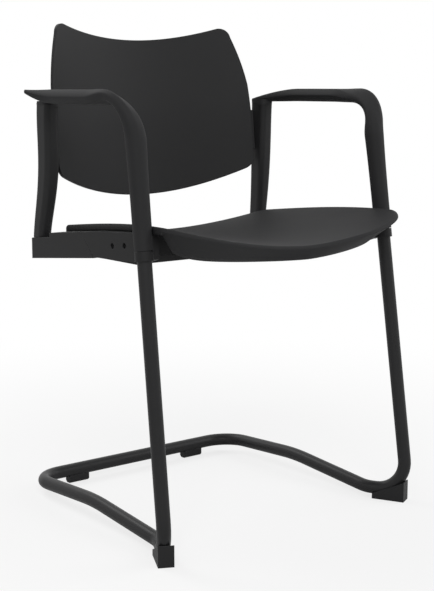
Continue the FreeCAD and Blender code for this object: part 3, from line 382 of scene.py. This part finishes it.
def seat_plan(share_across, share_back):
    """Where a share across and a share from front to rear lie: the front is straight in the middle and
    curves back to each side as a quarter ellipse; the rear has small round corners."""
    front_corner = np.clip(np.abs(share_across) - front_corner_start, 0, None) / (1 - front_corner_start)
    front = seat_front_y + seat_corner_depth * (1 - np.sqrt(np.clip(1 - front_corner ** 2, 0, None)))
    rear_corner = np.clip(np.abs(share_across) - rear_corner_start, 0, None) / (1 - rear_corner_start)
    rear = seat_rear_y - rear_corner_depth * rear_corner ** 2
    y = front + (rear - front) * share_back
    return share_across * seat_half_width(y), y


def skirt_hem(share_across):
    """The skirt's lower edge: from the middle it sweeps back with a power of the share across, and lifts
    slowly with the share's square and quickly, near the end, with a high power of it."""
    share = np.abs(share_across)
    corner_y = seat_front_y + seat_corner_depth
    middle_z = seat_top(0.0, seat_front_y) - skirt_height
    end_x = seat_half_width(corner_y) - skirt_end_inset
    end_z = seat_top(1.0, corner_y) - skirt_end_drop
    sweep = seat_corner_depth + skirt_end_setback - skirt_lean
    lift = skirt_early_lift * share ** 2 + (1 - skirt_early_lift) * share ** skirt_late_power
    return np.stack([end_x * share_across,
                     seat_front_y + skirt_lean + sweep * share ** skirt_sweep_power,
                     middle_z + (end_z - middle_z) * lift], axis=-1)


across_share = np.sin(np.linspace(-0.5, 0.5, across_steps) * math.pi)
share_grid, back_grid = np.meshgrid(across_share, np.linspace(0, 1, along_steps), indexing="ij")
plan_x, plan_y = seat_plan(share_grid, back_grid)
face_x = plan_x * (1 - seat_roll / np.abs(plan_x).max())
face_y = np.clip(plan_y, plan_y.min(axis=1, keepdims=True) + seat_roll,
                 plan_y.max(axis=1, keepdims=True) - seat_roll)
face_points = np.stack([face_x, face_y, seat_top(share_grid, plan_y)], axis=-1).reshape(-1, 3)
face_index = np.arange(len(face_points)).reshape(across_steps, along_steps)

# the loop round the face: along the front, up the left side, along the rear and down the right side
loop = np.concatenate([face_index[:, 0], face_index[-1, 1:],
                       face_index[-2::-1, -1], face_index[0, -2:0:-1]])
loop_plan = np.stack([plan_x.ravel()[loop], plan_y.ravel()[loop]], axis=1)
loop_ahead = np.roll(loop_plan, -1, axis=0) - np.roll(loop_plan, 1, axis=0)
loop_ahead /= np.linalg.norm(loop_ahead, axis=1)[:, None]
loop_outward = np.stack([loop_ahead[:, 1], -loop_ahead[:, 0], np.zeros(len(loop))], axis=1)
down = np.array([0.0, 0.0, -1.0])

# the rounded rim, a quarter circle out and down all the way round
turn = (np.arange(1, rim_rows + 1) / rim_rows * math.pi / 2)[:, None, None]
rim_points = face_points[loop] + seat_roll * (np.sin(turn) * loop_outward + (1 - np.cos(turn)) * down)
rim_index = len(face_points) + np.arange(rim_rows * len(loop)).reshape(rim_rows, -1)

# the skirt under the front edge, straight from the rim to the hem
part = np.linspace(0, 1, skirt_rows + 1)[1:, None, None]
skirt_points = rim_points[-1, :across_steps] * (1 - part) + skirt_hem(across_share) * part
skirt_index = rim_index.max() + 1 + np.arange(skirt_rows * across_steps).reshape(skirt_rows, -1)

# the lip under the sides and the rear, straight down from the rim, from one end of the skirt to the other
lip_columns = np.append(np.arange(across_steps - 1, len(loop)), 0)
lip_part = np.array([0.5, 1.0])[:, None, None]
lip_points = rim_points[-1, lip_columns] + lip_part * (seat_lip - seat_roll) * down
lip_index = skirt_index.max() + 1 + np.arange(2 * len(lip_columns)).reshape(2, -1)

# four bosses under the face for the seat's screws
boss_centres = np.array([(x, y) for x in (-boss_x, boss_x) for y in boss_y])
boss_angle = np.linspace(0, 2 * math.pi, boss_sides, endpoint=False)
boss_share = boss_centres[:, 0] / seat_half_width(boss_centres[:, 1])
boss_top_z = seat_top(boss_share, boss_centres[:, 1]) - seat_wall / 2
boss_ring = boss_centres[:, None] + boss_radius * np.stack([np.cos(boss_angle), np.sin(boss_angle)], -1)
boss_column = boss_ring.shape[:2] + (1,)
boss_points = np.stack([
    np.concatenate([boss_ring, np.broadcast_to(boss_top_z[:, None, None], boss_column)], -1),
    np.concatenate([boss_ring, np.full(boss_column, boss_low_z)], -1)], axis=1)

seat_faces = quads_between(face_index)
seat_faces += quads_between(closed(np.vstack([loop, rim_index])))
seat_faces += quads_between(np.vstack([rim_index[-1:, :across_steps], skirt_index]))
seat_faces += quads_between(np.vstack([rim_index[-1:, lip_columns], lip_index]))
for number in range(len(boss_centres)):
    boss_first = lip_index.max() + 1 + number * 2 * len(boss_angle)
    boss_index = boss_first + np.arange(2 * len(boss_angle)).reshape(2, -1)
    seat_faces += quads_between(closed(boss_index))
seat_points = np.vstack([points.reshape(-1, 3) for points in
                         (face_points, rim_points, skirt_points, lip_points, boss_points)])

# a shallow hollow in each side where the arm's sleeve passes
sleeve_axis = on_leg(sleeve_pass_z)
beside = np.clip(sleeve_room ** 2 - (seat_points[:, 1] - sleeve_axis[1]) ** 2, 0, None)
limit = np.where(beside > 0, sleeve_axis[0] - np.sqrt(beside), 1.0)
seat_points[:, 0] = np.clip(seat_points[:, 0], -limit, limit)

seat = mesh_piece("seat", seat_points, seat_faces)
shell_wall = seat.modifiers.new("wall", "SOLIDIFY")
shell_wall.thickness = seat_wall
shell_wall.offset = -1.0
seat_plastic = near_black("seat_plastic", level=0.021, roughness=0.66, grain=2200.0,
                          grain_depth=0.00005, mottle=9.0, edge_radius=0.0010, specular=0.12)
seat.data.materials.append(seat_plastic)
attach(seat, "root")
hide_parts("seat_shell")


# Back posts
# Moulded uprights of glass-filled polyamide, each with a tongue bolted in the rail and a fin
# behind the back shell for its screws.

post_plastic = near_black("post_plastic", level=0.015, roughness=0.50, grain=1600.0,
                          grain_depth=0.00005, mottle=14.0, edge_radius=0.0010)
finish_nodes(post_plastic, "back_post_right", "back_post_left")


# Back shell
# A thin moulded shell bent round a cylinder that leans back with the sitter, screwed to the fins
# from behind. Its top edge dips between two horns.

back_radius = 0.385
back_wall = 0.0055
back_lean = math.radians(7.1)
back_middle = np.array([0.0, 0.2285, 0.7775])
back_axis = np.array([0.0, math.sin(back_lean), math.cos(back_lean)])
back_rear = np.array([0.0, math.cos(back_lean), -math.sin(back_lean)])
back_low_z = 0.5095
horn = (0.160, 0.800)
shoulder = (0.1825, 0.785)
flank = (0.2045, 0.700)
low_flank = (0.206, 0.580)
low_corner = (0.192, 0.550)
corner_bulge = 0.0045
flank_bulge = 0.0018
upper_bulge = 0.0025
back_edge_radius = 0.0018
back_columns = 111
back_rows = 81
long_arc_steps = 240


def arc_through(first, middle, last, steps=60):
    """Points of the arc through three points of a plane, evenly from the first to the last, found from the
    centre at equal distance from all three."""
    first, middle, last = (np.array(place) for place in (first, middle, last))
    rows = 2 * np.array([middle - first, last - first])
    centre = np.linalg.solve(rows, [middle @ middle - first @ first, last @ last - first @ first])
    begin = math.atan2(*(first - centre)[::-1])
    by_middle = (math.atan2(*(middle - centre)[::-1]) - begin) % (2 * math.pi)
    sweep = (math.atan2(*(last - centre)[::-1]) - begin) % (2 * math.pi)
    if by_middle > sweep:
        sweep -= 2 * math.pi
    angle = begin + sweep * np.linspace(0, 1, steps)
    return centre + np.linalg.norm(first - centre) * np.stack([np.cos(angle), np.sin(angle)], -1)


def bulged(first, last, out, up):
    """The middle of two points of the outline, moved out and up."""
    return ((first[0] + last[0]) / 2 + out, (first[1] + last[1]) / 2 + up)


def even_points(arcs, count):
    """Joins arcs end to end and spaces points evenly along the whole."""
    line = np.vstack([arc[:-1] for arc in arcs[:-1]] + [arcs[-1]])
    reach = np.concatenate([[0], np.cumsum(np.linalg.norm(np.diff(line, axis=0), axis=1))])
    wanted = np.linspace(0, reach[-1], count)
    return np.stack([np.interp(wanted, reach, line[:, axis]) for axis in (0, 1)], -1)


def on_back(x, z):
    """The front face's point at an X and a height: on the leaning cylinder, found from how far along its
    axis the height falls."""
    inward = np.sqrt(back_radius ** 2 - x ** 2) - back_radius
    along = (z - back_middle[2] - inward * back_rear[2]) / back_axis[2]
    return (back_middle + np.multiply.outer(inward, back_rear) + np.multiply.outer(along, back_axis)
            + np.multiply.outer(x, [1.0, 0.0, 0.0]))


other_side = np.array([-1.0, 1.0])
shoulder_arc = arc_through(horn, bulged(horn, shoulder, corner_bulge, corner_bulge), shoulder)
corner_arc = arc_through(low_flank, bulged(low_flank, low_corner, corner_bulge, -corner_bulge), low_corner)
half = len(shoulder_arc) // 2
top_arc = arc_through((-horn[0], horn[1]), (0.0, back_middle[2]), horn, long_arc_steps)
low_arc = arc_through((-low_corner[0], low_corner[1]), (0.0, back_low_z), low_corner, long_arc_steps)
upper_horn = shoulder_arc[:half + 1]
lower_round = corner_arc[half:][::-1]
top_edge = even_points([(upper_horn * other_side)[::-1], top_arc, upper_horn], back_columns)
low_edge = even_points([(lower_round * other_side)[::-1], low_arc, lower_round], back_columns)
side_edge = even_points([
    corner_arc[:half + 1][::-1],
    arc_through(low_flank, bulged(low_flank, flank, flank_bulge, 0.0), flank),
    arc_through(flank, bulged(flank, shoulder, upper_bulge, 0.0), shoulder),
    shoulder_arc[half:][::-1]], back_rows)

# a patch that fills the four edges: the two ruled sheets between facing edges, added, less the
# flat sheet through the corners
u = np.linspace(0, 1, back_columns)[:, None, None]
v = np.linspace(0, 1, back_rows)[None, :, None]
patch = ((1 - v) * low_edge[:, None] + v * top_edge[:, None]
         + (1 - u) * (side_edge * other_side)[None] + u * side_edge[None]
         - (1 - u) * (1 - v) * low_edge[0] - u * (1 - v) * low_edge[-1]
         - (1 - u) * v * top_edge[0] - u * v * top_edge[-1])
back_index = np.arange(back_columns * back_rows).reshape(back_columns, back_rows)
back = mesh_piece("back", on_back(patch[..., 0], patch[..., 1]), quads_between(back_index))
back_shell_wall = back.modifiers.new("wall", "SOLIDIFY")
back_shell_wall.thickness = back_wall
back_shell_wall.offset = -1.0
back_edge = back.modifiers.new("edge", "BEVEL")
back_edge.width = back_edge_radius
back_edge.segments = 3
back_edge.limit_method = "ANGLE"
back_edge.angle_limit = math.radians(50)
back_plastic = near_black("back_plastic", level=0.016, roughness=0.56, grain=2200.0,
                          grain_depth=0.00005, mottle=7.0, edge_radius=0.0008)
back.data.materials.append(back_plastic)
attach(back, "root")
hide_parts("back_shell")


# Arms
# A moulded loop each side: a flat pad with a slanted rear end that rests on the post, turned down
# at the front into a sleeve over the leg, and a cap over the post's top.

arm_top_z = 0.6935
pad_x = 0.250
pad_width = 0.044
pad_height = 0.022
pad_bevel = 0.38
pad_edge_power = 1.3
arc_power = 2.0
pad_rear_start_y = 0.059
rear_inner_end = np.array([0.2137, 0.159, 0.6723])
rear_outer_end_y = 0.119
rear_outer_flare = 0.0108
rear_end_height = 0.006
rear_drop_power = 1.5
arm_bend_radius = 0.054
waist_width = 0.033
waist_height = 0.0155
waist_outset = 0.0067
waist_tilt = math.radians(28)
waist_lead = 0.039
waist_tail = 0.018
sleeve_low_z = 0.4625
sleeve_low_width = 0.0276
sleeve_high_width = 0.031
sleeve_roundness = 0.46
full_round = 0.5
bore_gap = 0.0002
bore_depth = 0.02
post_top = np.array([0.2257, 0.144, 0.669])
post_top_size = np.array([0.0270, 0.0384])
cap_corner = 0.0094
cap_height = 0.0055
cap_top_share = 0.94
cap_dip_depth = 0.006
cap_dip_power = 1.2
rear_rows = 21
bend_rows = 41
sleeve_rows = 20
corner_steps = 9
smooth_angle = 35.0
arm_axis_z = arm_top_z - pad_height / 2
leg_lean = math.atan2(leg_direction[1], leg_direction[2])
bend_turn = math.pi / 2 - leg_lean
bend_reach = arm_bend_radius * math.tan(bend_turn / 2)
bend_start_y = on_leg(arm_axis_z)[1] + bend_reach
bend_end_z = arm_axis_z - bend_reach * leg_direction[2]
bend_length = arm_bend_radius * bend_turn
sleeve_high_z = bend_end_z - waist_tail * leg_direction[2]


def rounded_outlines(centre, along, across, width, height, corner_width, corner_height, power):
    """Outlines with rounded corners, one for each row. A corner is a quarter of a superellipse: the shares
    of its width and height, each to the power, add up to 1, so that 2 gives an arc and 1 a flat bevel."""
    quarter = np.repeat([0, 1, 2, 3], corner_steps)
    angle = (quarter + np.tile(np.linspace(0, 1, corner_steps), 4)) * math.pi / 2
    sign_along = np.array([1, -1, -1, 1])[quarter]
    sign_across = np.array([1, 1, -1, -1])[quarter]
    bow = 2 / power[:, None]
    flat_width = (width / 2 - corner_width)[:, None]
    flat_height = (height / 2 - corner_height)[:, None]
    a = sign_along * (flat_width + corner_width[:, None] * np.abs(np.cos(angle)) ** bow)
    b = sign_across * (flat_height + corner_height[:, None] * np.abs(np.sin(angle)) ** bow)
    return centre[:, None] + a[..., None] * along[:, None] + b[..., None] * across[:, None]


def unit(vectors):
    """Directions of length 1: each vector over its own length."""
    return vectors / np.linalg.norm(vectors, axis=-1, keepdims=True)


def rear_outlines(share):
    """The pad's rear part: its outer edge keeps its top and flares out with the square of the share, while
    its inner edge runs on and drops to the post with a power of it, and the height thins with its square."""
    start = np.array([pad_x - pad_width / 2, pad_rear_start_y, arm_axis_z])
    fall = np.stack([share ** 2, share, share ** rear_drop_power], -1)
    inner = start + (rear_inner_end - start) * fall
    height = pad_height + (rear_end_height - pad_height) * share ** 2
    outer = np.stack([pad_x + pad_width / 2 + rear_outer_flare * share ** 2,
                      pad_rear_start_y + (rear_outer_end_y - pad_rear_start_y) * share,
                      arm_top_z - height / 2], -1)
    along = unit(outer - inner)
    across = unit(np.array([0.0, 0.0, 1.0]) - along * along[:, 2:])
    width = np.linalg.norm(outer - inner, axis=1)
    return rounded_outlines((inner + outer) / 2, along, across, width, height, pad_bevel * height, height / 2,
                            np.full(len(share), pad_edge_power))


def through_waist(first, waist, last, share):
    """Values that ease from the first to the last by three squares less two cubes of the share, and pass the
    waist's value half way by the square of four times the share times what is left of it."""
    eased = share ** 2 * (3 - 2 * share)
    return first + (last - first) * eased + (waist - (first + last) / 2) * (4 * share * (1 - share)) ** 2


def bend_outlines(share):
    """The front bend: a centre line that is level, turns on an arc and then follows the leg, with an outline
    that narrows to a tilted waist, set outwards, and grows into the sleeve."""
    distance = (waist_lead + bend_length + waist_tail) * share - waist_lead
    angle = np.clip(distance, 0, bend_length) / arm_bend_radius
    outward = np.stack([np.zeros_like(angle), -np.sin(angle), np.cos(angle)], -1)
    place = np.array([0.0, bend_start_y, arm_axis_z - arm_bend_radius]) + outward * arm_bend_radius
    place[:, 1] -= np.clip(distance, None, 0)
    place -= np.clip(distance - bend_length, 0, None)[:, None] * leg_direction
    leg_x = on_leg(place[:, 2])[:, 0]
    place[:, 0] = through_waist(pad_x, (pad_x + leg_x) / 2 + waist_outset, leg_x, share)
    width = through_waist(pad_width, waist_width, sleeve_high_width, share)
    height = through_waist(pad_height, waist_height, sleeve_high_width, share)
    bevel = pad_bevel + (sleeve_roundness - pad_bevel) * share
    half_share = full_round + (sleeve_roundness - full_round) * share
    power = pad_edge_power + (arc_power - pad_edge_power) * share
    tilt = through_waist(0.0, waist_tilt, 0.0, share)[:, None]
    side = np.array([1.0, 0.0, 0.0])
    along = side * np.cos(tilt) + outward * np.sin(tilt)
    across = outward * np.cos(tilt) - side * np.sin(tilt)
    return rounded_outlines(place, along, across, width, height, bevel * height, half_share * height, power)


def sleeve_outlines(z):
    """The sleeve along the leg: from its lower end up, its width grows with the cube of the share."""
    flare = ((z - sleeve_low_z) / (sleeve_high_z - sleeve_low_z)) ** 3
    width = sleeve_low_width + (sleeve_high_width - sleeve_low_width) * flare
    outward = np.array([0.0, -math.cos(leg_lean), math.sin(leg_lean)])
    along = np.broadcast_to([1.0, 0.0, 0.0], (len(z), 3))
    corner = sleeve_roundness * width
    return rounded_outlines(on_leg(z), along, np.broadcast_to(outward, along.shape), width, width,
                            corner, corner, np.full(len(z), arc_power))


loop_rows = np.vstack([
    rear_outlines(np.linspace(1.0, 0.0, rear_rows)),
    bend_outlines(np.linspace(0.0, 1.0, bend_rows)),
    sleeve_outlines(np.linspace(sleeve_high_z, sleeve_low_z, sleeve_rows)[1:])])

# the sleeve's lower end is open: a flat ring, then the bore up round the leg
end_centre = on_leg(sleeve_low_z)
bore_row = end_centre + unit(loop_rows[-1] - end_centre) * (tube_radius + bore_gap)
arm_rows = np.concatenate([loop_rows, bore_row[None], (bore_row + bore_depth * leg_direction)[None]])

# the cap over the post's top, whose lower edge dips towards the sitter and the front
cap_corners = np.array([cap_corner])
cap_outline = rounded_outlines(post_top[None], np.array([[1.0, 0.0, 0.0]]), np.array([[0.0, 1.0, 0.0]]),
                               post_top_size[:1], post_top_size[1:], cap_corners, cap_corners,
                               np.array([arc_power]))[0]
cap_share = (post_top - cap_outline)[:, :2] / (post_top_size / 2)
cap_dip = cap_dip_depth * np.clip(cap_share.sum(axis=1) / 2, 0, 1) ** cap_dip_power
cap_low = cap_outline - np.multiply.outer(cap_dip, [0.0, 0.0, 1.0])
cap_high = post_top + (cap_outline - post_top) * [cap_top_share, cap_top_share, 1.0] + [0.0, 0.0, cap_height]
cap_rows = np.stack([cap_high, cap_low])

arm_plastic = near_black("arm_plastic", level=0.019, roughness=0.62, grain=1600.0,
                         grain_depth=0.00005, mottle=12.0, edge_radius=0.0010, specular=0.14)
arm_columns = arm_rows.shape[1]
arm_index = np.arange(arm_rows.shape[0] * arm_columns).reshape(-1, arm_columns)
cap_index = arm_index.max() + 1 + np.arange(2 * arm_columns).reshape(2, -1)
arm_ends = [arm_index[0], arm_index[-1][::-1], cap_index[0], cap_index[1][::-1]]
for side_name, side in (("right", -1.0), ("left", 1.0)):
    arm_points = np.vstack([arm_rows.reshape(-1, 3), cap_rows.reshape(-1, 3)]) * [side, 1.0, 1.0]
    arm_faces = quads_between(closed(arm_index)) + quads_between(closed(cap_index))
    arm_faces += [row.tolist() for row in arm_ends]
    if side > 0:
        arm_faces = [face[::-1] for face in arm_faces]
    arm = mesh_piece("arm_loop_" + side_name, arm_points, arm_faces, smooth_angle)
    arm.data.materials.append(arm_plastic)
    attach(arm, "root")
    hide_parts("arm_" + side_name)


# Room
# A plain pale floor that keeps the chair's shadow and turns white away from it, plain soft studio
# light, and the camera at the photograph's viewing angle.

floor_half_size = 14.0
floor_z = -0.0002
glow_start = 0.35
glow_end = 1.5
near_glow = 0.74
room_light = 0.5
lit_place = (0.0, 0.0, 0.45)
sensor_width = 36.0
photo_height = 591
focal_pixels = 1291.351
camera_place = (-1.309812, -1.677494, 0.700879)
camera_down = 0.162
camera_turn = -0.666

floor_corners = np.array([(-1, -1, 0), (1, -1, 0), (1, 1, 0), (-1, 1, 0)]) * floor_half_size
floor = mesh_piece("floor", floor_corners + [0.0, 0.0, floor_z], [[0, 1, 2, 3]])
floor_paint = bpy.data.materials.new("floor_paint")
floor_paint.use_nodes = True
tree = floor_paint.node_tree
start = Wire(tree)
floor_shader = tree.nodes["Principled BSDF"]
floor_shader.inputs["Base Color"].default_value = (0.82, 0.82, 0.82, 1.0)
floor_shader.inputs["Roughness"].default_value = 0.9
rays = start.node("ShaderNodeLightPath", {}, {}, "Is Camera Ray")
place = start.node("ShaderNodeTexCoord", {}, {}, "Object")
reach = start.node("ShaderNodeVectorMath", {"operation": "LENGTH"}, {0: place}, "Value")
far_off = start.node("ShaderNodeMapRange", {"interpolation_type": "SMOOTHSTEP"},
                     {"Value": reach, "From Min": glow_start, "From Max": glow_end,
                      "To Min": near_glow, "To Max": 1.0})
glow = start.node("ShaderNodeEmission", {}, {"Color": (1.0, 1.0, 1.0, 1.0), "Strength": 1.0})
lit = Wire(tree, floor_shader.outputs[0])
blend = start.node("ShaderNodeMixShader", {}, {0: rays * far_off, 1: lit, 2: glow})
blend.feeds(tree.nodes["Material Output"], "Surface")
floor.data.materials.append(floor_paint)

# the world is white where it is seen, in gloss too, and gives less than that as light
world = bpy.data.worlds.new("studio")
bpy.context.scene.world = world
world.use_nodes = True
tree = world.node_tree
start = Wire(tree)
sky = tree.nodes["Background"]
rays = tree.nodes.new("ShaderNodeLightPath")
direct, glossy, transmitted = (Wire(tree, rays.outputs["Is " + kind + " Ray"])
                               for kind in ("Camera", "Glossy", "Transmission"))
seen = start.math("MAXIMUM", start.math("MAXIMUM", direct, glossy), transmitted)
sky.inputs["Color"].default_value = (1.0, 1.0, 1.0, 1.0)
(seen * (1 - room_light) + room_light).feeds(sky, "Strength")


def soft_lamp(name, place, width, watts):
    """A square area lamp at a place, turned towards the chair's middle: tipped by the angle whose cosine is
    the rise of the line between them over its length, and swung to that line's bearing."""
    light = bpy.data.lights.new(name, "AREA")
    light.energy = watts
    light.size = width
    lamp = bpy.data.objects.new(name, light)
    bpy.context.scene.collection.objects.link(lamp)
    lamp.location = place
    away = np.array(place) - np.array(lit_place)
    reach = np.linalg.norm(away)
    lamp.rotation_euler = (math.acos(away[2] / reach), 0.0, math.atan2(away[1], away[0]) + math.pi / 2)


# one lamp from the front right, one from the front left and one from behind
soft_lamp("key", place=(-1.6, -2.2, 2.6), width=1.6, watts=42.0)
soft_lamp("fill", place=(2.4, -1.4, 1.8), width=1.8, watts=22.0)
soft_lamp("back_light", place=(-0.7, 2.3, 3.0), width=1.4, watts=30.0)

view = bpy.data.cameras.new("view")
view.sensor_fit = "AUTO"
view.sensor_width = sensor_width
view.lens = sensor_width * focal_pixels / photo_height
camera = bpy.data.objects.new("view", view)
bpy.context.scene.collection.objects.link(camera)
camera.location = camera_place
camera.rotation_euler = (math.pi / 2 - camera_down, 0.0, camera_turn)
bpy.context.scene.camera = camera
bpy.context.scene.view_settings.view_transform = "Standard"
